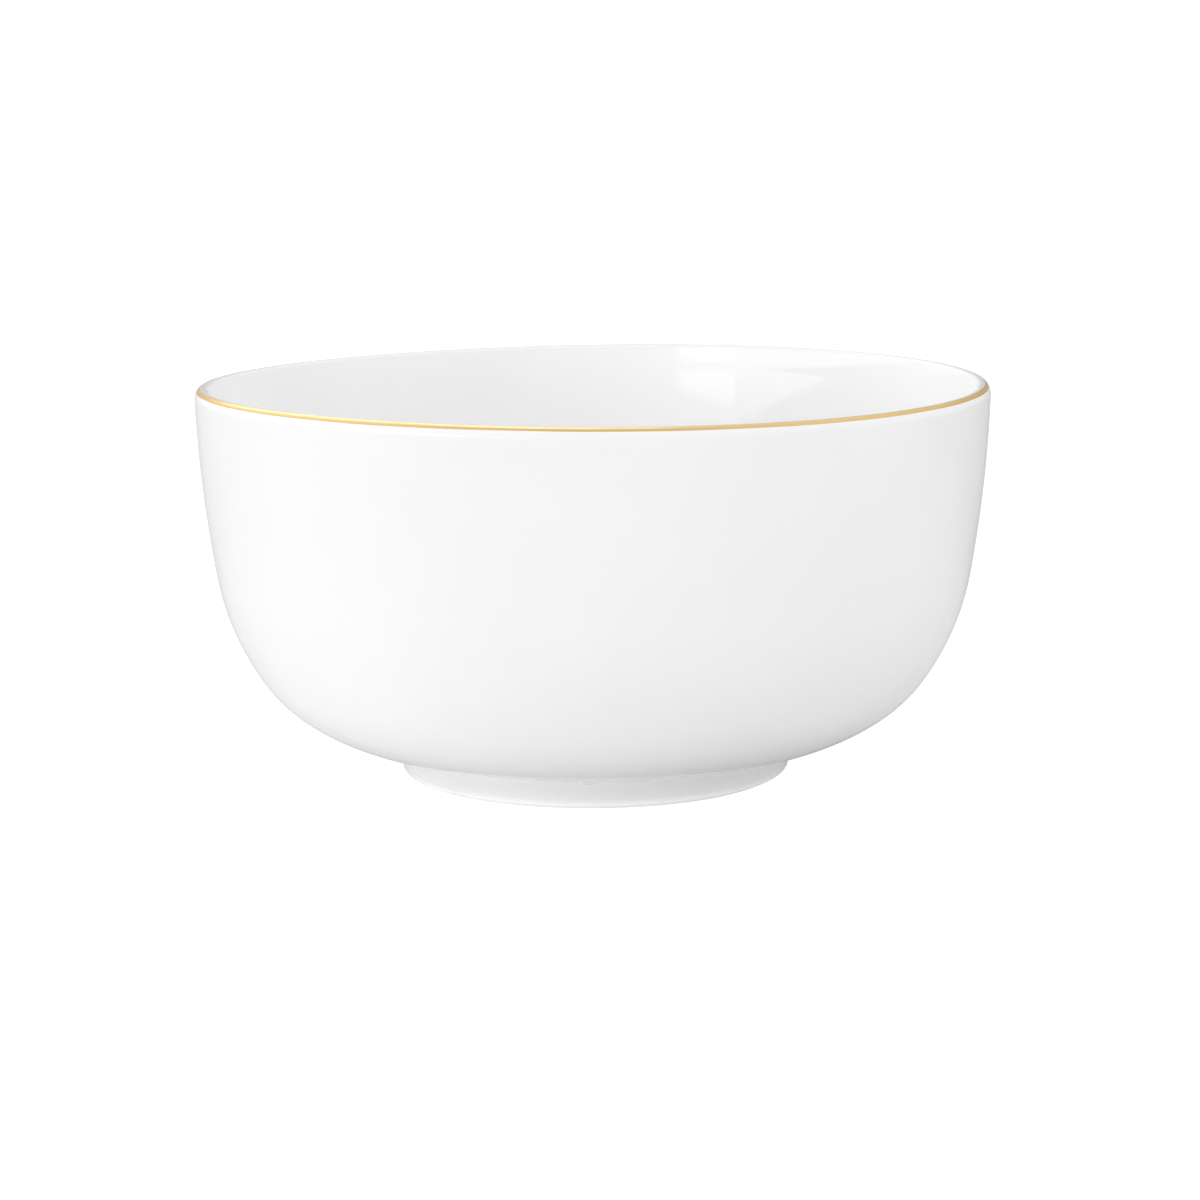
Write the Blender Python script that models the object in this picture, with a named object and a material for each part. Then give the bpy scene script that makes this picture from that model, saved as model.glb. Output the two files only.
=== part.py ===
"""A porcelain serving bowl with a gold rim line, modelled for Blender 4.5.

The bowl is 200 mm across and 100 mm tall. Its wall is nearly upright at the lip, turns in with
one long soft curve and meets a low foot ring. Four turned pieces share the vertical axis: the
shell, the foot ring under it, the bare edge that the bowl stands on, and the gold line.

Metres, +Z up. The origin is the middle of the foot, level with the surface it stands on.
"""

import math

import bmesh
import bpy

MM = 0.001

# Driving dimensions.
RIM_RADIUS = 100 * MM  # at the widest point, just below the lip
HEIGHT = 100 * MM  # from the standing edge to the crest of the lip
FOOT_RADIUS = 49.3 * MM  # outside of the foot ring's upright wall
LIP_THICKNESS = 3.0 * MM
FLOOR_THICKNESS = 5.0 * MM
FLOOR_DISH = 0.8 * MM  # how much lower the inside is at the middle than at the floor's edge

# The outside wall, from the widest point down to the underside: tangent arcs, each given by
# its radius, the angle from the vertical at its lower end, and the steps it is drawn in.
RIM_LEAN = 1.9
WALL_ARCS = (
    (320 * MM, 10, 4),
    (65 * MM, 35, 5),
    (37 * MM, 55, 4),
    (51 * MM, 90, 5),
)

# The lip is two quarter ellipses that meet at the crest, the outer one larger.
LIP_OUTER_RISE = 2.9 * MM
LIP_OUTER_REACH = 1.9 * MM
LIP_INNER_RISE = 1.7 * MM

# The gold line lies on the lip between these angles: 0 faces out, 90 is the crest.
GOLD_FROM = 42
GOLD_TO = 78
GOLD_THICKNESS = 0.3 * MM
GOLD_STEPS = 6
GROOVE_MARGIN = 7  # degrees that the groove runs on past each edge of the gold

# The foot ring, and the bare edge let into its underside.
GAP = 0.3 * MM  # between neighbouring pieces
FOOT_DRAFT = 0.8 * MM  # how much further out the inner wall is at its lower end
FILLET_RADIUS = 2.0 * MM  # hollow curve between the ring's walls and the underside
FILLET_TURN = 70  # degrees of the fillet that are made, so that its edge isn't a blade
OUTER_SHOULDER = 5.6 * MM  # height where the outer fillet begins
INNER_SHOULDER = 5.4 * MM
GLAZE_EDGE_HEIGHT = 0.45 * MM  # the glazed ring stops this far above the table
OUTER_ROUND_REACH = 3.0 * MM  # the ring's outer lower corner, a quarter ellipse
OUTER_ROUND_RISE = 2.45 * MM
INNER_ROUND_REACH = 0.9 * MM
INNER_ROUND_RISE = 1.15 * MM
BARE_OUTER_RADIUS = 46.0 * MM
BARE_INNER_RADIUS = 43.3 * MM
BARE_HEIGHT = 0.8 * MM
BARE_CORNER = 0.3 * MM

SEGMENTS = 64  # round the axis
SHARP_ANGLE = math.radians(40)

# Colour, roughness and metallic value of each finish.
GLAZE = ((0.93, 0.93, 0.925, 1.0), 0.08, 0.0)
BARE_PORCELAIN = ((0.84, 0.82, 0.78, 1.0), 0.75, 0.0)
BRIGHT_GOLD = ((0.83, 0.60, 0.25, 1.0), 0.18, 1.0)


def wall_points():
    """The outside wall from the widest point to the underside, as (radius, height, lean)."""
    radius = RIM_RADIUS
    height = HEIGHT - LIP_OUTER_RISE
    lean = math.radians(RIM_LEAN)
    points = [(radius, height, lean)]
    for bend, end_degrees, steps in WALL_ARCS:
        end = math.radians(end_degrees)
        for step in range(1, steps + 1):
            turned = lean + (end - lean) * step / steps
            points.append((
                radius - bend * (math.cos(lean) - math.cos(turned)),
                height - bend * (math.sin(turned) - math.sin(lean)),
                turned,
            ))
        radius, height, lean = points[-1]
    return points


def inside_points(wall):
    """The wall's inner face: the outer one moved in by a thickness that grows from the lip down,
    fast at first and then ever more slowly, to the floor's."""
    lengths = [0.0]
    for upper, lower in zip(wall, wall[1:]):
        lengths.append(lengths[-1] + math.dist(upper[:2], lower[:2]))
    points = []
    for (radius, height, lean), length in zip(wall, lengths):
        share = length / lengths[-1]
        thickness = FLOOR_THICKNESS - (FLOOR_THICKNESS - LIP_THICKNESS) * (1 - share) ** 3
        points.append((
            radius - thickness * math.cos(lean),
            height + thickness * math.sin(lean),
        ))
    return points


def lip_point(degrees, depth=0.0):
    """A point on the lip's outline, or that far under it. 0 faces out, 90 up and 180 in."""
    crest_radius = RIM_RADIUS - LIP_OUTER_REACH
    outer = degrees <= 90
    reach = LIP_OUTER_REACH if outer else LIP_THICKNESS - LIP_OUTER_REACH
    rise = LIP_OUTER_RISE if outer else LIP_INNER_RISE
    across = math.cos(math.radians(degrees))
    up = math.sin(math.radians(degrees))
    slant = math.hypot(across / reach, up / rise)
    return (
        crest_radius + reach * across - depth * across / reach / slant,
        HEIGHT - rise + rise * up - depth * up / rise / slant,
    )


def spread(start, end, steps):
    """Evenly spaced values from start to end, both included."""
    return [start + (end - start) * step / steps for step in range(steps + 1)]


def ellipse_points(centre, reach, rise, start, end, steps):
    """Points on an ellipse about centre, between two angles in degrees."""
    return [
        (
            centre[0] + reach * math.cos(math.radians(angle)),
            centre[1] + rise * math.sin(math.radians(angle)),
        )
        for angle in spread(start, end, steps)
    ]


def underside_height(radius):
    """Height of the shell's underside near the foot: flat, then up along the last wall arc."""
    flat_radius, flat_height, _ = wall_points()[-1]
    bend = WALL_ARCS[-1][0]
    beyond = max(radius - flat_radius, 0.0)
    return flat_height + bend - math.sqrt(bend**2 - beyond**2)


def body_outline():
    """The shell's section, from the middle of the underside out, up, over the lip and back in."""
    wall = wall_points()
    inside = inside_points(wall)
    groove_from = GOLD_FROM - GROOVE_MARGIN
    groove_to = GOLD_TO + GROOVE_MARGIN
    groove_depth = GOLD_THICKNESS + GAP
    outline = [(0.0, wall[-1][1])]
    outline += [(radius, height) for radius, height, _ in reversed(wall)]
    outline += [lip_point(angle) for angle in spread(0, groove_from, 2)[1:]]
    outline += [lip_point(angle, groove_depth) for angle in spread(groove_from, groove_to, GOLD_STEPS)]
    outline += [lip_point(groove_to)]
    outline += [lip_point(angle) for angle in spread(90, 180, 3)]
    outline += inside
    floor_radius, floor_height = inside[-1]
    for share in (0.7, 0.4, 0.0):
        outline.append((floor_radius * share, floor_height - FLOOR_DISH * (1 - share**2)))
    return outline


def foot_outline():
    """The foot ring's section, a closed loop that starts under the shell on the outside."""
    slot_outer = BARE_OUTER_RADIUS + GAP
    slot_inner = BARE_INNER_RADIUS - GAP
    slot_height = BARE_HEIGHT + GAP
    inner_foot_radius = slot_inner - INNER_ROUND_REACH
    inner_top_radius = inner_foot_radius - FOOT_DRAFT
    outer_fillet = ellipse_points(
        (FOOT_RADIUS + FILLET_RADIUS, OUTER_SHOULDER),
        FILLET_RADIUS, FILLET_RADIUS, 180 - FILLET_TURN, 180, 4,
    )
    outer_round = ellipse_points(
        (slot_outer, GLAZE_EDGE_HEIGHT + OUTER_ROUND_RISE),
        OUTER_ROUND_REACH, OUTER_ROUND_RISE, 0, -90, 5,
    )
    inner_round = ellipse_points(
        (slot_inner, GLAZE_EDGE_HEIGHT + INNER_ROUND_RISE),
        INNER_ROUND_REACH, INNER_ROUND_RISE, -90, -180, 3,
    )
    inner_fillet = ellipse_points(
        (inner_top_radius - FILLET_RADIUS, INNER_SHOULDER),
        FILLET_RADIUS, FILLET_RADIUS, 0, FILLET_TURN, 3,
    )
    slot = [(slot_outer, slot_height), (slot_inner, slot_height)]
    sides = outer_fillet + outer_round + slot + inner_round + inner_fillet
    top_radii = spread(sides[-1][0], sides[0][0], 5)
    top = [(radius, underside_height(radius) - GAP) for radius in top_radii]
    return sides + top


def bare_edge_outline():
    """The standing edge's section: flat underneath, its lower corners eased."""
    outer_corner = ellipse_points(
        (BARE_OUTER_RADIUS - BARE_CORNER, BARE_CORNER), BARE_CORNER, BARE_CORNER, 0, -90, 2
    )
    inner_corner = ellipse_points(
        (BARE_INNER_RADIUS + BARE_CORNER, BARE_CORNER), BARE_CORNER, BARE_CORNER, -90, -180, 2
    )
    top = [(BARE_INNER_RADIUS, BARE_HEIGHT), (BARE_OUTER_RADIUS, BARE_HEIGHT)]
    return outer_corner + inner_corner + top


def gold_outline():
    """The gold line's section: flush with the lip's outline, one thickness deep."""
    angles = spread(GOLD_FROM, GOLD_TO, GOLD_STEPS)
    outer = [lip_point(angle) for angle in angles]
    inner = [lip_point(angle, GOLD_THICKNESS) for angle in reversed(angles)]
    return outer + inner


def finish_material(name, finish):
    colour, roughness, metallic = finish
    material = bpy.data.materials.new(name)
    material.use_nodes = True
    shader = material.node_tree.nodes["Principled BSDF"]
    shader.inputs["Base Color"].default_value = colour
    shader.inputs["Roughness"].default_value = roughness
    shader.inputs["Metallic"].default_value = metallic
    return material


def turned_piece(name, outline, finish):
    """Spins an outline round the Z axis. An outline that starts on the axis also ends on it."""
    shape = bmesh.new()
    points = [shape.verts.new((radius, 0.0, height)) for radius, height in outline]
    edges = [shape.edges.new(pair) for pair in zip(points, points[1:])]
    if outline[0][0] > 0:
        edges.append(shape.edges.new((points[-1], points[0])))
    bmesh.ops.spin(
        shape,
        geom=points + edges,
        cent=(0, 0, 0),
        axis=(0, 0, 1),
        angle=math.tau,
        steps=SEGMENTS,
        use_merge=True,
    )
    bmesh.ops.remove_doubles(shape, verts=shape.verts[:], dist=GAP / 1000)
    bmesh.ops.recalc_face_normals(shape, faces=shape.faces[:])
    mesh = bpy.data.meshes.new(name)
    shape.to_mesh(mesh)
    shape.free()
    mesh.shade_smooth()
    mesh.set_sharp_from_angle(angle=SHARP_ANGLE)
    mesh.materials.append(finish_material(name, finish))
    piece = bpy.data.objects.new(name, mesh)
    bpy.context.scene.collection.objects.link(piece)
    return piece


def main():
    for old in list(bpy.data.objects):
        bpy.data.objects.remove(old)
    turned_piece("bowl_body", body_outline(), GLAZE)
    turned_piece("foot_ring", foot_outline(), GLAZE)
    turned_piece("bare_foot_edge", bare_edge_outline(), BARE_PORCELAIN)
    turned_piece("gold_rim_line", gold_outline(), BRIGHT_GOLD)


main()
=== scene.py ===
# %% [markdown]
# # A porcelain serving bowl with a gold rim line
# The bowl is a body of revolution, thrown or pressed on a wheel, so nearly all of it is one
# profile carried round an axis. The frame holds the measured solids. Everything below is laid
# over them at their own place and size: first the frame is loaded and its box is kept.

# %% Load the frame
import math

import bpy
import numpy as np
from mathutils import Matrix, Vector


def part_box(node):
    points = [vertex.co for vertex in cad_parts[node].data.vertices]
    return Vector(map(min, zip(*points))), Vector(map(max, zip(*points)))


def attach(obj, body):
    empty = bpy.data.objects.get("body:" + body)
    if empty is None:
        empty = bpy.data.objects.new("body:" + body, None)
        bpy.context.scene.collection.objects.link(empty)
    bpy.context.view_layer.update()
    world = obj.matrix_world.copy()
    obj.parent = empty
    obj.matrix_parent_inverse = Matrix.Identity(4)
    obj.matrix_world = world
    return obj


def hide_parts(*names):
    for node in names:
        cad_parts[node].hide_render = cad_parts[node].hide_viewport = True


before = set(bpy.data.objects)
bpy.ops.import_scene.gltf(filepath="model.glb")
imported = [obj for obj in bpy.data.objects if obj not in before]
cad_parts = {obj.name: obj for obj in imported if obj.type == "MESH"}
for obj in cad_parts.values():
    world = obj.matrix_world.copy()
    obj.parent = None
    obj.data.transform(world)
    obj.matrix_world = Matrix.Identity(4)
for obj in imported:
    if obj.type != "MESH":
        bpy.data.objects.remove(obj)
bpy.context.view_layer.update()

MM = 0.001
print("nodes:", sorted(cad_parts))

# %% [markdown]
# ## The camera
# A long lens from a little under a metre flattens the rim to a thin ellipse and keeps the wall
# almost undistorted. It stands nine degrees above the table's plane, so that the inside of the
# far wall shows over the near rim. It is aimed a little below the middle of the bowl and to the
# right of it, and is turned by half a degree about its own axis, as a hand-held view is.

# %% Camera
_, body_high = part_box("bowl_body")
HEIGHT = body_high.z
RIM_RADIUS = body_high.x
CAMERA_DISTANCE = 950 * MM
CAMERA_HEIGHT_ANGLE = math.radians(9.0)
CAMERA_ROLL = math.radians(-0.45)
AIM = Vector((1.45 * MM, 0.0, 44.1 * MM))
LENS, SENSOR = 112, 36  # in millimetres, as Blender asks for them

camera = bpy.data.objects.new("camera", bpy.data.cameras.new("camera"))
camera.data.lens = LENS
camera.data.sensor_width = SENSOR
camera.data.clip_start = 10 * MM
bpy.context.scene.collection.objects.link(camera)
camera.location = (
    0.0,
    -CAMERA_DISTANCE * math.cos(CAMERA_HEIGHT_ANGLE),
    HEIGHT / 2 + CAMERA_DISTANCE * math.sin(CAMERA_HEIGHT_ANGLE),
)
camera.rotation_euler = (AIM - camera.location).to_track_quat("-Z", "Y").to_euler()
camera.rotation_euler.rotate_axis("Z", CAMERA_ROLL)
bpy.context.scene.camera = camera
print("camera at", [round(value, 3) for value in camera.location])

# %% [markdown]
# ## The kiln's saddle
# A fired rim is never quite flat. As the bowl shrinks in the kiln it takes a slight saddle
# shape, high at two opposite places and low between them. A lattice modifier could bend the
# finished bowl, but a formula is exact and bends every piece alike. The warp grows with the
# square of the height, so the foot stays flat on the table.

# %% Saddle warp
AROUND = 320  # columns round the axis
SADDLE = 0.43 * MM
all_angles = np.arange(AROUND) * (2 * np.pi / AROUND)


def saddle(angle, height):
    """How far the kiln lifts a point: saddle * sin(2 * angle) * (height / bowl height) squared."""
    return SADDLE * np.sin(2 * angle) * (height / HEIGHT) ** 2


print("the rim is lifted by up to %.2f mm" % (saddle(all_angles, HEIGHT).max() / MM))

# %% [markdown]
# ## From a grid of points to a mesh
# Every turned piece is a grid: its rows follow a profile, its columns go round the axis. Each
# square of four neighbours becomes a face. A closed profile, such as a ring's, joins its last
# row to its first. An open one, such as the shell's, starts and ends on the axis, where the
# whole row is one point with triangles round it, so that there is no hole at the pole.

# %% Mesh helpers


def make_mesh(name, points, faces):
    """A smooth mesh object at the origin, from an array of points and lists of face corners."""
    mesh = bpy.data.meshes.new(name)
    mesh.from_pydata(points.tolist(), [], faces)
    mesh.shade_smooth()
    mesh.validate()
    piece = bpy.data.objects.new(name, mesh)
    bpy.context.scene.collection.objects.link(piece)
    print(name, "has", len(mesh.vertices), "points and", len(mesh.polygons), "faces")
    return piece


def skin(name, grid, closed=False):
    """Covers a grid of points, rows by columns by 3, with faces. The columns close on themselves.

    If closed, so do the rows: the last row is joined to the first. If not, the first and last
    row must each be gathered at one place, and become a single point with triangles round it.
    """
    rows, columns = grid.shape[:2]
    index = np.arange(rows * columns).reshape(rows, columns)
    if closed:
        index = np.vstack([index, index[:1]])
    on = np.roll(index, -1, axis=1)
    corners = np.stack([index[:-1], on[:-1], on[1:], index[1:]], axis=-1)
    if closed:
        return make_mesh(name, grid.reshape(-1, 3), corners.reshape(-1, 4).tolist())
    corners = corners - (columns - 1)  # the whole first row becomes point 0
    last = 1 + (rows - 2) * columns
    first_fan = np.stack([np.zeros(columns, int), corners[0, :, 2], corners[0, :, 3]], axis=1)
    last_fan = np.stack([corners[-1, :, 0], corners[-1, :, 1], np.full(columns, last)], axis=1)
    points = np.vstack([grid[:1].mean(axis=1), grid[1:-1].reshape(-1, 3), grid[-1:].mean(axis=1)])
    quads = corners[1:-1].reshape(-1, 4)
    return make_mesh(name, points, quads.tolist() + first_fan.tolist() + last_fan.tolist())


def mark(piece, name, values):
    """Stores one number for each point of a piece, for its finish to read."""
    attribute = piece.data.attributes.new(name, "FLOAT", "POINT")
    attribute.data.foreach_set("value", np.asarray(values, dtype=np.float32).ravel())

# %% [markdown]
# ## Carrying a profile round the axis
# On the wheel a template is held against the turning clay. A Screw modifier could do the same,
# but here the surface is written down as two parameters, so that the saddle and the gold's
# wavering edge can differ from angle to angle. One runs along the profile and gives a radius and
# a height, the other is the angle round the axis:
#
#     x = radius * cos(angle),  y = radius * sin(angle),  z = height + saddle

# %% Surface of revolution


def turn(name, radius, height, closed=False):
    """Carries a profile round the axis: (radius * cos a, radius * sin a, height + saddle).

    radius and height are one array each, or arrays with one column for each angle.
    """
    radius = np.broadcast_to(np.reshape(radius, (len(radius), -1)), (len(radius), AROUND))
    height = np.broadcast_to(np.reshape(height, (len(height), -1)), (len(height), AROUND))
    angle = np.broadcast_to(all_angles, radius.shape)
    lifted = height + saddle(angle, height)
    grid = np.stack([radius * np.cos(angle), radius * np.sin(angle), lifted], axis=-1)
    return skin(name, grid, closed)


def ellipse(centre_r, centre_z, reach, rise, start, end, steps):
    """A run of an ellipse: centre + (reach * cos t, rise * sin t) for t from start to end."""
    t = np.radians(np.linspace(start, end, steps))
    return centre_r + reach * np.cos(t), centre_z + rise * np.sin(t)


def chain(parts):
    """Strings runs of radius and height together into one profile, and turns its order round,
    so that the faces point outwards."""
    radius = np.concatenate([np.asarray(r) for r, z in parts])
    height = np.concatenate([np.asarray(z) for r, z in parts])
    return radius[::-1], height[::-1]

# %% [markdown]
# ## The outside wall
# The wall stands almost upright at the lip and lies flat at the foot. Between them it is four
# arcs, each tangent to the next, as a turner's template would be cut. The lean is the angle from
# the vertical. While it turns from one lean to the next on a bend of a given radius, a point
# moves in by bend * (cos lean0 - cos lean) and down by bend * (sin lean - sin lean0).

# %% Wall arcs
LIP_OUTER_RISE = 2.9 * MM  # the widest point is this far below the crest
RIM_LEAN = 1.9  # the lean at the widest point, in degrees
WALL_ARCS = (
    # radius of the bend, lean at its lower end in degrees, steps
    (320 * MM, 10, 26),
    (65 * MM, 35, 24),
    (37 * MM, 55, 16),
    (51 * MM, 90, 28),
)


def wall_profile():
    """Radius, height and lean of the outside wall, from below the lip to the underside."""
    radius, height = np.array([RIM_RADIUS]), np.array([HEIGHT - LIP_OUTER_RISE])
    lean = np.radians([RIM_LEAN])
    for bend, end, steps in WALL_ARCS:
        turned = np.linspace(lean[-1], math.radians(end), steps + 1)[1:]
        radius = np.append(radius, radius[-1] - bend * (np.cos(lean[-1]) - np.cos(turned)))
        height = np.append(height, height[-1] - bend * (np.sin(turned) - np.sin(lean[-1])))
        lean = np.append(lean, turned)
    return radius, height, lean


wall_r, wall_z, wall_lean = wall_profile()
print("the wall ends at radius %.1f mm, height %.1f mm" % (wall_r[-1] / MM, wall_z[-1] / MM))

# %% [markdown]
# ## The inside
# The inside follows the outside at a distance. The wall is 3 mm thick at the lip and 5 mm in the
# floor, and thickens fast at first and then ever more slowly, which keeps the rim light and the
# foot strong: thickness = floor - (floor - lip) * (1 - share of the way down) cubed. A Solidify
# modifier would give one thickness everywhere, so the inside is a profile of its own. The floor
# is dished by a fraction of a millimetre, because a wet disc sinks in the middle of its mould.

# %% Inside profile
LIP_THICKNESS = 3.0 * MM
FLOOR_THICKNESS = 5.0 * MM
FLOOR_DISH = 0.8 * MM
FLOOR_STEPS = 13

step_length = np.hypot(np.diff(wall_r), np.diff(wall_z))
share_down = np.append(0.0, np.cumsum(step_length)) / step_length.sum()
thickness = FLOOR_THICKNESS - (FLOOR_THICKNESS - LIP_THICKNESS) * (1 - share_down) ** 3
inside_r = wall_r - thickness * np.cos(wall_lean)
inside_z = wall_z + thickness * np.sin(wall_lean)
floor_share = np.linspace(1, 0, FLOOR_STEPS + 1)[1:]
floor_r = inside_r[-1] * floor_share
floor_z = inside_z[-1] - FLOOR_DISH * (1 - floor_share**2)
print("the floor is %.2f mm above the table at the middle" % (floor_z[-1] / MM))

# %% [markdown]
# ## The lip
# The lip is softened by hand with a wet sponge, so it is not a half circle. It is two quarter
# ellipses that meet at the crest: a point at an angle t is (reach * cos t, rise * sin t), where
# the outer quarter reaches further and drops lower than the inner one. A Bevel modifier gives
# round corners only, and the gold line needs the same formula again later.

# %% Lip profile
LIP_OUTER_REACH = 1.9 * MM
LIP_INNER_RISE = 0.9 * MM
LIP_STEPS = 45


def lip(degrees, proud=0.0):
    """Radius and height on the lip, 0 facing out, 90 up, 180 in, moved out by proud along the
    outline's normal (cos t / reach, sin t / rise), brought to length one."""
    t = np.radians(degrees)
    outer = np.asarray(degrees) <= 90
    reach = np.where(outer, LIP_OUTER_REACH, LIP_THICKNESS - LIP_OUTER_REACH)
    rise = np.where(outer, LIP_OUTER_RISE, LIP_INNER_RISE)
    across, up = np.cos(t) / reach, np.sin(t) / rise
    length = np.hypot(across, up)
    return (
        RIM_RADIUS - LIP_OUTER_REACH + reach * np.cos(t) + proud * across / length,
        HEIGHT - rise + rise * np.sin(t) + proud * up / length,
    )


lip_r, lip_z = lip(np.linspace(0, 180, LIP_STEPS + 1)[1:-1])
print("the crest is at radius %.1f mm" % (lip_r[np.argmax(lip_z)] / MM))

# %% [markdown]
# ## The shell
# Underside, wall, lip, inside and floor are one skin on the real bowl, so their profiles are
# strung together into one line from the middle of the underside to the middle of the floor, and
# turned once. Every point is marked as outside or not, because the painted shade at the foot's
# joint must not show through in the bowl.

# %% Shell
UNDER_STEPS = 13

under_r = wall_r[-1] * np.linspace(0, 1, UNDER_STEPS + 1)[:-1]
under_z = np.full(len(under_r), wall_z[-1])
# Without its first two points, the inside runs into the lip with no crease.
shell_r = np.concatenate([under_r, wall_r[::-1], lip_r, inside_r[2:], floor_r])
shell_z = np.concatenate([under_z, wall_z[::-1], lip_z, inside_z[2:], floor_z])
glazed_shell = turn("glazed_shell", shell_r, shell_z)

# 1 on the underside and wall, 0 on the lip and inside. The first and last rows are single points.
outside_rows = (np.arange(len(shell_r)) < len(under_r) + len(wall_r)).astype(float)
outside_points = np.repeat(outside_rows[1:-1], AROUND)
mark(glazed_shell, "outside", np.concatenate([[1.0], outside_points, [0.0]]))

# %% [markdown]
# ## The foot ring
# The potter turns the foot on the leather-hard bowl: an upright ring with a soft lower corner,
# and a small hollow curve where it meets the body. It is made as a ring of its own, closed all
# round, because its section is a closed loop. The profile starts inside the body, runs down the
# outside, round to the edge of the glaze, and up again on the inner side.

# %% Foot ring
FOOT_RADIUS = 49.3 * MM
BARE_OUTER, BARE_INNER = 46.0 * MM, 43.3 * MM  # the bare standing edge lies between these
SLOT_TOP = 1.1 * MM
GLAZE_EDGE = 0.45 * MM  # the glaze stops this far above the table
OUTER_ROUND_RISE = 2.45 * MM
INNER_ROUND_REACH, INNER_ROUND_RISE = 0.9 * MM, 1.15 * MM
FILLET = 2.0 * MM
FILLET_OVERLAP = 0.03 * MM  # how far the hollow curve runs on into the body
OUTER_SHOULDER, INNER_SHOULDER = 5.6 * MM, 5.4 * MM  # where the hollow curves begin
FOOT_DRAFT = 0.8 * MM  # the inner wall leans in by this much from bottom to top

foot_inner = BARE_INNER - INNER_ROUND_REACH
inner_fillet_r = foot_inner - FOOT_DRAFT - FILLET
# The outer hollow curve rises to the underside there, found on the wall's lowest arc.
fillet_top = np.interp(FOOT_RADIUS + FILLET, wall_r[::-1][1:], wall_z[::-1][1:])
fillet_rise = fillet_top - OUTER_SHOULDER + FILLET_OVERLAP
print("the foot meets the body %.2f mm above the table" % (fillet_top / MM))

foot_r, foot_z = chain([
    ([FOOT_RADIUS + 1.2 * MM], [wall_z[-1] + 1.6 * MM]),
    ellipse(FOOT_RADIUS + FILLET, OUTER_SHOULDER, FILLET, fillet_rise, 90, 180, 16),
    ellipse(BARE_OUTER, GLAZE_EDGE + OUTER_ROUND_RISE,
            FOOT_RADIUS - BARE_OUTER, OUTER_ROUND_RISE, 0, -90, 16),
    ([BARE_OUTER, BARE_INNER], [SLOT_TOP, SLOT_TOP]),
    ellipse(BARE_INNER, GLAZE_EDGE + INNER_ROUND_RISE,
            INNER_ROUND_REACH, INNER_ROUND_RISE, -90, -180, 8),
    ellipse(inner_fillet_r, INNER_SHOULDER, FILLET, FILLET, 0, 88, 12),
    ([inner_fillet_r], [wall_z[-1] + 1.2 * MM]),
])
glazed_foot = turn("glazed_foot_ring", foot_r, foot_z, closed=True)
mark(glazed_foot, "outside", np.ones(len(foot_r) * AROUND))

# %% [markdown]
# ## A bead of glaze
# While it melts, the glaze runs down the wall and gathers where the foot begins. Here and there a
# drop stays hanging in the corner. Metaballs could melt it into the wall, but it is smaller than
# a grain of rice, so an ellipsoid set into the corner does, whose lower half is drawn out a
# little by its weight.

# %% Glaze bead
BEAD_AZIMUTH = math.radians(-92)
BEAD_RADIUS = 51.9 * MM  # from the axis to the bead's middle
BEAD_HEIGHT = 8.35 * MM
BEAD_WIDE, BEAD_DEEP, BEAD_TALL = 1.75 * MM, 1.1 * MM, 0.9 * MM  # half its size each way
BEAD_DROOP = 1.2


def bead_grid(rows, columns):
    """An upright ellipsoid: along the ring wide * cos v * cos u, outwards deep * cos v * sin u,
    up tall * sin v. Its lower half is stretched by a fifth."""
    v = np.linspace(-np.pi / 2, np.pi / 2, rows)[:, None]
    u = np.linspace(0, 2 * np.pi, columns, endpoint=False)[None, :]
    along = BEAD_WIDE * np.cos(v) * np.cos(u)
    outward = BEAD_RADIUS + BEAD_DEEP * np.cos(v) * np.sin(u)
    height = BEAD_HEIGHT + BEAD_TALL * np.sin(v) * np.where(v < 0, BEAD_DROOP, 1.0) + 0 * u
    c, s = math.cos(BEAD_AZIMUTH), math.sin(BEAD_AZIMUTH)
    # u turns from "along" to "outwards", so along points clockwise to keep the faces outwards.
    return np.stack([outward * c + along * s, outward * s - along * c, height], axis=-1)


glaze_bead = skin("glaze_bead", bead_grid(25, 40))

# %% [markdown]
# ## The bare standing edge
# Glaze would weld the bowl to the kiln shelf, so it is wiped off the edge that the bowl stands
# on. After the firing this edge is ground flat and polished. It could be painted on the foot
# ring as a second finish, but it is a ring of its own, with eased corners and set a little into
# the glazed one, so that the glaze ends at a real step.

# %% Standing edge
BARE_CORNER = 0.3 * MM
BARE_LAP = 0.15 * MM  # how far it reaches into the glazed ring on both sides
BARE_TOP = 1.3 * MM
ring_outer, ring_inner = BARE_OUTER + BARE_LAP, BARE_INNER - BARE_LAP

bare_r, bare_z = chain([
    ellipse(ring_outer - BARE_CORNER, BARE_CORNER, BARE_CORNER, BARE_CORNER, 0, -90, 6),
    ellipse(ring_inner + BARE_CORNER, BARE_CORNER, BARE_CORNER, BARE_CORNER, -90, -180, 6),
    ([ring_inner, ring_outer], [BARE_TOP, BARE_TOP]),
])
bare_edge = turn("bare_standing_edge", bare_r, bare_z, closed=True)

# %% [markdown]
# ## The gold line
# Bright gold is painted on the fired glaze with a fine brush while the bowl turns slowly, then
# fired again at a lower heat. A colour on the shell's own lip would have blurred edges, so the
# line is a film with a shape of its own. It follows the lip and hardly stands out from it, and
# its edges waver by a tenth of a millimetre where the brush lifted and pressed.

# %% Gold line
GOLD_FROM, GOLD_TO = 42.0, 77.0  # on the lip, in degrees
FROM_WAVER, TO_WAVER = 2.0, 2.4  # how far each edge wavers, in degrees
FILM = 0.035 * MM
FILM_ROOT = 0.15 * MM  # how deep its hidden side lies under the glaze
GOLD_ROWS = 22


def waver(angle, waves):
    """A brush's slow unsteadiness: the mean of cosines, each with its own count and phase."""
    return sum(np.cos(count * angle + phase) for count, phase in waves) / len(waves)


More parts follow.
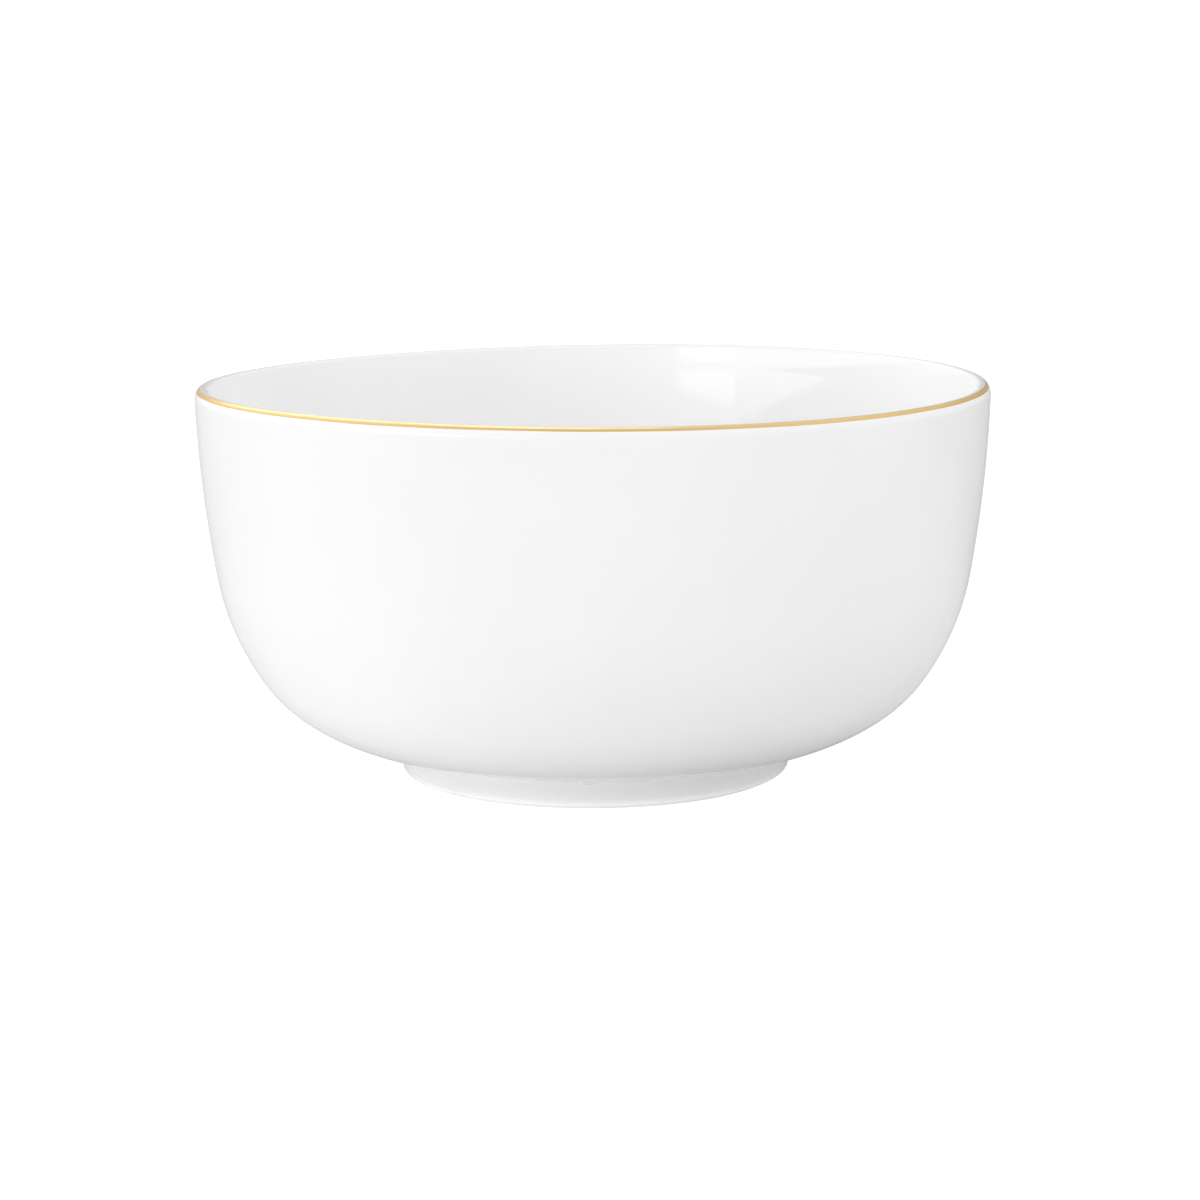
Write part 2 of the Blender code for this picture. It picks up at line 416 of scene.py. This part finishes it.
across = np.linspace(0, 1, GOLD_ROWS)[:, None]
from_waves = ((2, 0.4), (5, 1.9), (11, 0.7), (23, 2.6))
to_waves = ((3, 2.2), (7, 0.3), (13, 4.0), (29, 1.1))
start = GOLD_FROM + FROM_WAVER * waver(all_angles, from_waves)
stop = GOLD_TO + TO_WAVER * waver(all_angles, to_waves)
band = start + (stop - start) * across
# The film is full in the middle and thins out to nothing at its two edges.
thick = FILM * (1 - (2 * across - 1) ** 8) + 0 * band
top_r, top_z = lip(band, thick)
low_r, low_z = lip(band[::-1], -FILM_ROOT)
gold_r, gold_z = np.vstack([top_r, low_r]), np.vstack([top_z, low_z])
gold_line = turn("gold_lip_band", gold_r, gold_z, closed=True)

# 0 at the line's outer edge and 1 at the edge near the crest, on both sides of the film.
share = np.broadcast_to(np.concatenate([across, across[::-1]]), gold_r.shape)
mark(gold_line, "across", share)

# %% [markdown]
# ## Tools for the finishes
# The finishes are built from nodes that read the object's own coordinates, in metres, so that
# every grain has its real size and stays on the piece. A painted image would need unwrapping
# and would blur close up. These helpers add and link nodes in one line each.

# %% Node helpers


def new_material(name):
    """A material with its node tree, and its shader."""
    material = bpy.data.materials.new(name)
    material.use_nodes = True
    return material, material.node_tree, material.node_tree.nodes["Principled BSDF"]


def add(tree, kind, inputs=None, **settings):
    """Adds a node, sets its properties, and sets or links its inputs by name or number."""
    node = tree.nodes.new(kind)
    for key, value in settings.items():
        setattr(node, key, value)
    for key, value in (inputs or {}).items():
        if isinstance(value, bpy.types.NodeSocket):
            tree.links.new(value, node.inputs[key])
        else:
            node.inputs[key].default_value = value
    return node


def calculate(tree, operation, *values):
    """A math node of that kind on up to three values."""
    return add(tree, "ShaderNodeMath", dict(enumerate(values)), operation=operation).outputs[0]


def fit_range(tree, value, low, high, to_low, to_high, kind="LINEAR"):
    """Carries value from one range to another, held at the ends."""
    return add(tree, "ShaderNodeMapRange", {
        "Value": value, "From Min": low, "From Max": high, "To Min": to_low, "To Max": to_high,
    }, interpolation_type=kind).outputs["Result"]


def mix(tree, share, first, second):
    """Two colours mixed by share."""
    node = add(tree, "ShaderNodeMix", data_type="RGBA")
    for socket, value in (("Factor_Float", share), ("A_Color", first), ("B_Color", second)):
        target = next(item for item in node.inputs if item.identifier == socket)
        if isinstance(value, bpy.types.NodeSocket):
            tree.links.new(value, target)
        else:
            target.default_value = value
    return next(item for item in node.outputs if item.identifier == "Result_Color")

# %% [markdown]
# ## Grain, place and relief
# A finish needs to know where it is. On a turned piece, marks run round the axis or lie at one
# radius and height, so the place is also wanted as radius, height and angle. Relief is bump:
# marks of a few thousandths of a millimetre change how light glances off and not the outline,
# so they need no geometry.

# %% Pattern helpers


def object_place(tree):
    """A point's own coordinates on the piece, in metres."""
    return add(tree, "ShaderNodeTexCoord").outputs["Object"]


def noise(tree, place, scale, detail=3.0):
    """Soft random grain, scale in patches per unit of place."""
    return add(tree, "ShaderNodeTexNoise", {
        "Vector": place, "Scale": scale, "Detail": detail}).outputs["Fac"]


def round_the_axis(tree, place):
    """Radius, height and angle of a point: the square root of x * x + y * y, z, and the
    arctangent of y and x."""
    parts = add(tree, "ShaderNodeSeparateXYZ", {0: place}).outputs
    squares = calculate(tree, "MULTIPLY_ADD", parts["X"], parts["X"],
                        calculate(tree, "MULTIPLY", parts["Y"], parts["Y"]))
    return (calculate(tree, "SQRT", squares), parts["Z"],
            calculate(tree, "ARCTAN2", parts["Y"], parts["X"]))


def near_circle(tree, radius, height, circle_radius, circle_height, inner, outer):
    """1 within the inner distance of a level circle round the axis, falling to 0 at the outer.
    The distance is the square root of (radius - R) squared + (height - H) squared."""
    out = calculate(tree, "SUBTRACT", radius, circle_radius)
    up = calculate(tree, "SUBTRACT", height, circle_height)
    gap = calculate(tree, "SQRT", calculate(
        tree, "MULTIPLY_ADD", out, out, calculate(tree, "MULTIPLY", up, up)))
    return fit_range(tree, gap, inner, outer, 1, 0, "SMOOTHSTEP")


def relief(tree, shader, layers):
    """Bump layers one over the other, each a height from 0 to 1 and its depth in metres."""
    normal = None
    for height, depth in layers:
        bump = add(tree, "ShaderNodeBump", {"Strength": 1.0, "Distance": depth, "Height": height})
        if normal:
            tree.links.new(normal, bump.inputs["Normal"])
        normal = bump.outputs["Normal"]
    tree.links.new(normal, shader.inputs["Normal"])

# %% [markdown]
# ## The glaze's tone
# The glaze is a coat of clear glass, two tenths of a millimetre thick, over white porcelain. The
# white comes from the body, so its colour hardly changes. There are wide, faint clouds where the
# coat is thicker, and a rare fine speck. Two tones are painted shade: a greyer tone on the outside
# near the joint of the foot, where less light reaches the underside, and a darker line along the
# crest of the lip, where less light falls from above. One image or one flat colour would miss
# these, so each is a mask that mixes in its own tone.

# %% Glaze tone
GLAZE_WHITE = (0.95, 0.95, 0.948, 1)
GLAZE_CLOUD = (0.93, 0.931, 0.929, 1)
# Painted shade: the underside is greyer towards the foot's joint, where less light reaches it.
GLAZE_JOINT_SHADE = (0.78, 0.785, 0.787, 1)
# Painted shade: a darker line along the crest of the lip, where less light falls from above.
GLAZE_CREST_SHADE = (0.75, 0.752, 0.752, 1)
SPECK = (0.62, 0.59, 0.55, 1)
CLOUDS = 22  # per metre
JOINT_RADIUS, JOINT_HEIGHT = FOOT_RADIUS + 1.5 * MM, 7.9 * MM
JOINT_NEAR = 0.3 * MM  # within this distance of the joint its tone is full
# The crest's tone is painted shade, full near the crest and gone further off.
CREST_RADIUS = 98.0 * MM
CREST_NEAR, CREST_FAR = 0.2 * MM, 1.1 * MM  # where the thin tone is full, and where it is gone
SPECK_CELLS, SPECK_PATCHES = 140.0, 90  # per metre
SPECK_SIZE = 0.03  # as a share of a cell
SPECK_RARE, SPECK_STRENGTH = 0.72, 0.35


def glaze_tone(tree, place, radius, height, white, joint_paint, reach):
    """The white with its clouds, mixed with the joint's painted tone near the joint and on the
    outside only, and with the painted shade near the crest."""
    cloud = fit_range(tree, noise(tree, place, CLOUDS), 0.35, 0.65, 0, 1)
    tone = mix(tree, cloud, GLAZE_CLOUD, white)
    # Near the joint the tone is painted shade on the shell and a painted highlight on the foot.
    joint = near_circle(tree, radius, height, JOINT_RADIUS, JOINT_HEIGHT, JOINT_NEAR, reach)
    outside = add(tree, "ShaderNodeAttribute", attribute_name="outside").outputs["Fac"]
    tone = mix(tree, calculate(tree, "MULTIPLY", joint, outside), tone, joint_paint)
    # Near the crest the tone is painted shade.
    crest = near_circle(tree, radius, height, CREST_RADIUS, HEIGHT, CREST_NEAR, CREST_FAR)
    return mix(tree, crest, tone, GLAZE_CREST_SHADE)


def with_specks(tree, place, tone):
    """Mixes in specks: a dot in the middle of a cell, kept only where a wider noise is high."""
    cells = add(tree, "ShaderNodeTexVoronoi", {"Vector": place, "Scale": SPECK_CELLS})
    dot = calculate(tree, "LESS_THAN", cells.outputs["Distance"], SPECK_SIZE)
    chance = noise(tree, cells.outputs["Position"], SPECK_PATCHES, 0)
    speck = calculate(tree, "MULTIPLY", dot, calculate(tree, "GREATER_THAN", chance, SPECK_RARE))
    return mix(tree, calculate(tree, "MULTIPLY", speck, SPECK_STRENGTH), tone, SPECK)

# %% [markdown]
# ## The glaze's gloss
# The gloss is what makes it porcelain. The melt has set smooth but not flat, so it carries
# patches a few centimetres wide, a fine orange peel, and the soft rings left by the turning
# tool, all only a few thousandths of a millimetre deep. A noise that reads radius and height at
# full scale and the angle hardly at all is drawn out into rings. The shell and the foot have the
# same recipe with tones of their own, and these are painted light and shade: the foot's white is
# a shade deeper, as painted shade, and its joint lighter, as a painted highlight along the hollow
# curve. Those tones were set so that the dark line in the corner stays thin.

# %% Glaze material
GLOSS_PATCHES = 35  # per metre
GLOSS_SMOOTH, GLOSS_ROUGH = 0.015, 0.035
RINGS, RING_DEPTH = 210, 0.006 * MM  # per metre, and how deep they are
RING_DRIFT = 0.0012  # how little the rings change per radian
PEEL, PEEL_DEPTH = 420, 0.003 * MM
# The foot's deeper white is painted shade, and its lighter joint is a painted highlight on the
# hollow curve.
FOOT_WHITE = (0.93, 0.93, 0.927, 1)
FOOT_JOINT_HIGHLIGHT = (0.98, 0.98, 0.978, 1)
BODY_REACH, FOOT_REACH = 15 * MM, 3.6 * MM  # how far the joint's tone reaches on each
GLASS_IOR = 1.5


def glaze_material(name, white, joint_paint, reach):
    """Clear glaze on white porcelain, with its painted tone in the joint of the foot, which is
    painted light and shade, and how far that tone reaches."""
    material, tree, shader = new_material(name)
    place = object_place(tree)
    radius, height, angle = round_the_axis(tree, place)
    tone = glaze_tone(tree, place, radius, height, white, joint_paint, reach)
    tree.links.new(with_specks(tree, place, tone), shader.inputs["Base Color"])
    patches = noise(tree, place, GLOSS_PATCHES, 4)
    gloss = fit_range(tree, patches, 0.3, 0.7, GLOSS_SMOOTH, GLOSS_ROUGH)
    tree.links.new(gloss, shader.inputs["Roughness"])
    rings = add(tree, "ShaderNodeCombineXYZ", {
        "X": radius, "Y": height, "Z": calculate(tree, "MULTIPLY", angle, RING_DRIFT)})
    relief(tree, shader, (
        (noise(tree, rings.outputs[0], RINGS, 2), RING_DEPTH),
        (noise(tree, place, PEEL, 1), PEEL_DEPTH),
    ))
    shader.inputs["IOR"].default_value = GLASS_IOR
    return material


body_glaze = glaze_material("body_glaze", GLAZE_WHITE, GLAZE_JOINT_SHADE, BODY_REACH)
foot_glaze = glaze_material("foot_glaze", FOOT_WHITE, FOOT_JOINT_HIGHLIGHT, FOOT_REACH)
print("glaze:", len(body_glaze.node_tree.nodes), "nodes")

# %% [markdown]
# ## Bright gold
# Bright gold is a film of real gold a few ten-thousandths of a millimetre thick. It takes the
# gloss of the glaze under it. The brush leaves fine streaks along the line, and where the film
# thins out at its edges it turns darker and browner. The streaks are a noise drawn out along the
# angle, and the edges are found by the share across the line that each point carries.

# %% Gold material
GOLD_FULL = (0.90, 0.70, 0.39, 1)
GOLD_STREAK = (0.84, 0.62, 0.31, 1)
GOLD_DEEP = (0.78, 0.54, 0.23, 1)  # along the outer edge
GOLD_THIN = (0.66, 0.46, 0.24, 1)  # right at both edges
GOLD_GLANCE = (1.0, 0.86, 0.62, 1)  # the colour of its reflections at grazing angles
STREAKS_ACROSS, STREAKS_ALONG = 3500.0, 14.0  # per metre, and per radian
GOLD_SMOOTH, STREAK_ROUGH = 0.12, 0.10
STREAK_DEPTH = 0.003 * MM

bright_gold, tree, shader = new_material("bright_gold")
radius, height, angle = round_the_axis(tree, object_place(tree))
brushed = add(tree, "ShaderNodeCombineXYZ", {
    "X": calculate(tree, "MULTIPLY", radius, STREAKS_ACROSS),
    "Y": calculate(tree, "MULTIPLY", height, STREAKS_ACROSS),
    "Z": calculate(tree, "MULTIPLY", angle, STREAKS_ALONG)}).outputs[0]
streaks = fit_range(tree, noise(tree, brushed, 1.0, 3), 0.3, 0.7, 0, 1)
across_line = add(tree, "ShaderNodeAttribute", attribute_name="across").outputs["Fac"]
off_middle = calculate(tree, "ABSOLUTE", calculate(tree, "SUBTRACT", across_line, 0.5))
thin = fit_range(tree, off_middle, 0.38, 0.5, 0, 1, "SMOOTHSTEP")
deep = fit_range(tree, across_line, 0.25, 0.5, 1, 0, "SMOOTHSTEP")
tone = mix(tree, deep, mix(tree, streaks, GOLD_FULL, GOLD_STREAK), GOLD_DEEP)
tree.links.new(mix(tree, thin, tone, GOLD_THIN), shader.inputs["Base Color"])
rough = calculate(tree, "MULTIPLY_ADD", streaks, STREAK_ROUGH, GOLD_SMOOTH)
tree.links.new(rough, shader.inputs["Roughness"])
shader.inputs["Metallic"].default_value = 1.0
shader.inputs["Specular Tint"].default_value = GOLD_GLANCE
relief(tree, shader, ((streaks, STREAK_DEPTH),))
print("gold:", len(tree.nodes), "nodes")

# %% [markdown]
# ## Bare porcelain
# Without glaze the fired body is matte, a little warmer and finely grained like a sugar cube.
# Grinding on a wet disc leaves fine scratches that run round the ring, and table after table
# rubs a little grey into them. The scratches are a noise that changes fast along the radius and
# slowly round the ring. The same noise gives their relief and their grey, so the two agree.

# %% Bare porcelain material
BARE_DARK, BARE_LIGHT = (0.85, 0.835, 0.80, 1), (0.91, 0.90, 0.875, 1)
RUBBED = (0.70, 0.685, 0.66, 1)
SCRATCHES_ACROSS, SCRATCHES_ALONG = 9000.0, 8.0  # per metre, and per radian
SCRATCH_DEPTH, GRAIN_DEPTH = 0.02 * MM, 0.03 * MM
GRAINS = 2500  # per metre
BARE_SMOOTH, BARE_ROUGH = 0.62, 0.8

bare_porcelain, tree, shader = new_material("bare_porcelain")
place = object_place(tree)
radius, _, angle = round_the_axis(tree, place)
ground = add(tree, "ShaderNodeCombineXYZ", {
    "X": calculate(tree, "MULTIPLY", radius, SCRATCHES_ACROSS),
    "Z": calculate(tree, "MULTIPLY", angle, SCRATCHES_ALONG)}).outputs[0]
scratches = noise(tree, ground, 1.0, 2)
grain = noise(tree, place, GRAINS, 3)
tone = mix(tree, fit_range(tree, grain, 0.3, 0.7, 0, 1), BARE_DARK, BARE_LIGHT)
rubbed = fit_range(tree, scratches, 0.55, 0.75, 0, 0.5)
tree.links.new(mix(tree, rubbed, tone, RUBBED), shader.inputs["Base Color"])
rough = fit_range(tree, grain, 0.3, 0.7, BARE_SMOOTH, BARE_ROUGH)
tree.links.new(rough, shader.inputs["Roughness"])
relief(tree, shader, ((scratches, SCRATCH_DEPTH), (grain, GRAIN_DEPTH)))
print("bare porcelain:", len(tree.nodes), "nodes")

# %% [markdown]
# ## Each piece gets its finish and its place
# Nothing moves on a bowl, so every piece rides on the one body, "root". Each row also lists the
# record's slot that its finish belongs to, which the loop does not use, and the solid that it
# stands for, which is then hidden. The bead shares the foot's glaze and stands for the foot ring
# together with it.

# %% Finish and place of each piece
for piece, material, slot, node in (
    (glazed_shell, body_glaze, "body_glaze", "bowl_body"),
    (glazed_foot, foot_glaze, "foot_glaze", "foot_ring"),
    (glaze_bead, foot_glaze, "foot_glaze", "foot_ring"),
    (bare_edge, bare_porcelain, "bare_porcelain", "bare_foot_edge"),
    (gold_line, bright_gold, "bright_gold", "gold_rim_line"),
):
    piece.data.materials.append(material)
    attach(piece, "root")
    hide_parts(node)
    print(piece.name, "stands for", node)

# %% [markdown]
# ## The table
# The bowl stands on white paper. It is one large flat face. Behind the bowl its colour is
# greyer, and more so on the right: this is painted shade, because the turned-away edges of glazed
# porcelain mirror what lies behind them, and with pure white there the outline would be lost in
# the white.

# %% Table and its tone
TABLE_SIZE = 6.0  # from the middle to each side
FRONT_PAPER = (0.8, 0.8, 0.8, 1)
# Painted shade: the table is greyer behind the bowl, more so on the right.
LEFT_SHADE_BEHIND, RIGHT_SHADE_BEHIND = (0.66, 0.66, 0.66, 1), (0.52, 0.52, 0.52, 1)  # behind the bowl
SIDE_FADE, BACK_FADE = 0.15, 0.25  # how far from the middle each change of tone is complete

table_points = np.array([(-1, -1, 0), (1, -1, 0), (1, 1, 0), (-1, 1, 0)]) * TABLE_SIZE
table = make_mesh("white_table", table_points, [[0, 1, 2, 3]])
paper, tree, shader = new_material("white_table")
shader.inputs["Roughness"].default_value = 0.9
shader.inputs["Specular IOR Level"].default_value = 0.2
place = object_place(tree)
spot = add(tree, "ShaderNodeSeparateXYZ", {0: place})
side = fit_range(tree, spot.outputs["X"], -SIDE_FADE, SIDE_FADE, 0, 1)
behind = fit_range(tree, spot.outputs["Y"], 0.0, BACK_FADE, 0, 1)
far = mix(tree, side, LEFT_SHADE_BEHIND, RIGHT_SHADE_BEHIND)
tree.links.new(mix(tree, behind, FRONT_PAPER, far), shader.inputs["Base Color"])

# %% [markdown]
# ## The table's glow
# Light that is thrown up from the table fills the underside of the wall and the foot. A white
# card would lie in front on the left. Here the table itself glows faintly: in a round patch
# there, and in a narrow ring round the foot. The glow is for diffuse rays only, because as a
# reflection in the glaze it would draw a bright line along the joint. For the camera's own rays
# the table is clean white. Seen from below it is clear, so that the foot can be looked at.

# %% Glow of the table
CARD_PLACE = (-0.09, -0.06, 0.0)
CARD_INNER, CARD_OUTER, CARD_GLOW = 0.03, 0.14, 0.16
RECESS_EDGE, FOOT_EDGE, GLOW_END = 45 * MM, 49 * MM, 60 * MM  # distances from the middle
FOOT_GLOW, FAR_GLOW = 0.45, 0.02  # at the foot's edge, and from the glow's end outwards
RECESS_GLOW = 0.65  # the share of the foot's glow that is left inside the ring
CAMERA_GLOW = 0.7

from_middle = add(tree, "ShaderNodeVectorMath", {0: place}, operation="LENGTH")
from_card = add(tree, "ShaderNodeVectorMath", {0: place, 1: CARD_PLACE}, operation="DISTANCE")
away = from_middle.outputs["Value"]
card = fit_range(tree, from_card.outputs["Value"], CARD_INNER, CARD_OUTER, CARD_GLOW, 0,
                 "SMOOTHSTEP")
ring = calculate(
    tree, "MULTIPLY", fit_range(tree, away, RECESS_EDGE, FOOT_EDGE, RECESS_GLOW, 1),
    fit_range(tree, away, FOOT_EDGE, GLOW_END, FOOT_GLOW, FAR_GLOW, "SMOOTHSTEP"),
)
path = add(tree, "ShaderNodeLightPath").outputs
lit = calculate(tree, "MULTIPLY", calculate(tree, "ADD", ring, card), path["Is Diffuse Ray"])
strength = calculate(tree, "MULTIPLY_ADD", path["Is Camera Ray"], CAMERA_GLOW, lit)
shader.inputs["Emission Color"].default_value = (1, 1, 1, 1)
tree.links.new(strength, shader.inputs["Emission Strength"])
clear = add(tree, "ShaderNodeBsdfTransparent")
under = add(tree, "ShaderNodeNewGeometry").outputs["Backfacing"]
both = add(tree, "ShaderNodeMixShader", {0: under, 1: shader.outputs[0], 2: clear.outputs[0]})
tree.links.new(both.outputs[0], tree.nodes["Material Output"].inputs["Surface"])
table.data.materials.append(paper)
print("table:", len(tree.nodes), "nodes")

# %% [markdown]
# ## The surroundings
# White porcelain on a white table is all about soft differences, so the light comes from every
# side and only leans a little. Real studios do this with white walls and large diffusers. Here
# the surroundings themselves glow, which leaves no edges to be mirrored in the glaze:
#
#     brightness = even part + strength * (direction . towards the glow) to a power
#
# The even part fills, each glow adds one wide soft patch, and a higher power makes it narrower.
# The patch that stays near the horizon in front on the left is the strongest, and a negative one
# takes some light away behind the bowl. The camera sees the surroundings as clean white.

# %% Surroundings
EVEN_GLOW = 0.79
SEEN_WHITE = 1.05
LOW_BAND = 0.25  # how far up a glow near the horizon reaches
GLOWS = (
    # azimuth from +X in degrees, height angle, power, strength, 1 if it stays near the horizon
    (225, 25, 4, 0.29, 0),
    (135, 35, 4, 0.60, 0),
    (315, 35, 4, 0.14, 0),
    (0, 20, 4, 0.28, 0),
    (215, 0, 2, 1.90, 1),
    (90, 8, 8, -0.36, 0),
)


def towards(azimuth, up):
    """The unit vector at that azimuth and height angle, in degrees."""
    a, e = math.radians(azimuth), math.radians(up)
    return math.cos(a) * math.cos(e), math.sin(a) * math.cos(e), math.sin(e)


world = bpy.data.worlds.new("studio")
bpy.context.scene.world = world
world.use_nodes = True
tree = world.node_tree
direction = add(tree, "ShaderNodeTexCoord").outputs["Generated"]
up_part = add(tree, "ShaderNodeSeparateXYZ", {0: direction}).outputs["Z"]
low_down = fit_range(tree, up_part, 0.0, LOW_BAND, 1, 0)
total = EVEN_GLOW
for azimuth, up, power, strength, low in GLOWS:
    facing = add(tree, "ShaderNodeVectorMath", {0: direction, 1: towards(azimuth, up)},
                 operation="DOT_PRODUCT").outputs["Value"]
    glow = calculate(tree, "POWER", calculate(tree, "MAXIMUM", facing, 0.0), power)
    if low:
        glow = calculate(tree, "MULTIPLY", glow, low_down)
    total = calculate(tree, "MULTIPLY_ADD", glow, strength, total)
lighting = tree.nodes["Background"]
lighting.inputs["Color"].default_value = (1, 1, 1, 1)
tree.links.new(total, lighting.inputs["Strength"])
white = add(tree, "ShaderNodeBackground", {"Color": (1, 1, 1, 1), "Strength": SEEN_WHITE})
seen = add(tree, "ShaderNodeLightPath").outputs["Is Camera Ray"]
both = add(tree, "ShaderNodeMixShader", {0: seen, 1: lighting.outputs[0], 2: white.outputs[0]})
tree.links.new(both.outputs[0], tree.nodes["World Output"].inputs["Surface"])
bpy.context.scene.view_settings.view_transform = "Standard"
print("surroundings: even", EVEN_GLOW, "and", len(GLOWS), "glows")

# %% [markdown]
# ## Lamps
# Three lamps draw the sharp reflections. A panel overhead runs as a pale stripe along the gold.
# It is there for reflections only, because as a light it would wash out the soft shading. On the
# left in front stand two low strips, one over the other with a thin gap between them, and they
# are mirrored in the far wall's glaze like a window with a bar.

# %% Lamps
PANEL_PLACE, PANEL_AIM = (-0.36, 0.66, 1.3), (0, 0, 0.1)
PANEL_WIDTH, PANEL_LENGTH, PANEL_RADIANCE = 0.8, 2.1, 0.52
STRIP_X, STRIP_Y, STRIP_WIDTH, STRIP_RADIANCE = -0.45, -0.559, 0.25, 1.3
STRIPS = (
    # name, height of its middle above the table, its own height
    ("strip_above_bar", 0.158, 0.024),
    ("strip_below_bar", 0.140, 0.0055),
)


def soft_box(name, place, aim, width, height, radiance):
    """A rectangular lamp at place that faces aim, unseen by the camera. Its power is
    pi * area * radiance, so that its face is as bright as that number says."""
    lamp = bpy.data.lights.new(name, "AREA")
    lamp.shape = "RECTANGLE"
    lamp.size, lamp.size_y, lamp.energy = width, height, math.pi * width * height * radiance
    holder = bpy.data.objects.new(name, lamp)
    holder.location = place
    holder.rotation_euler = (Vector(aim) - holder.location).to_track_quat("-Z", "Y").to_euler()
    holder.visible_camera = False
    bpy.context.scene.collection.objects.link(holder)
    print(name, "at", place)
    return holder


panel = soft_box("panel_overhead", PANEL_PLACE, PANEL_AIM,
                 PANEL_WIDTH, PANEL_LENGTH, PANEL_RADIANCE)
panel.visible_diffuse = False
for name, level, tall in STRIPS:
    soft_box(name, (STRIP_X, STRIP_Y, level), (0, 0, level), STRIP_WIDTH, tall, STRIP_RADIANCE)
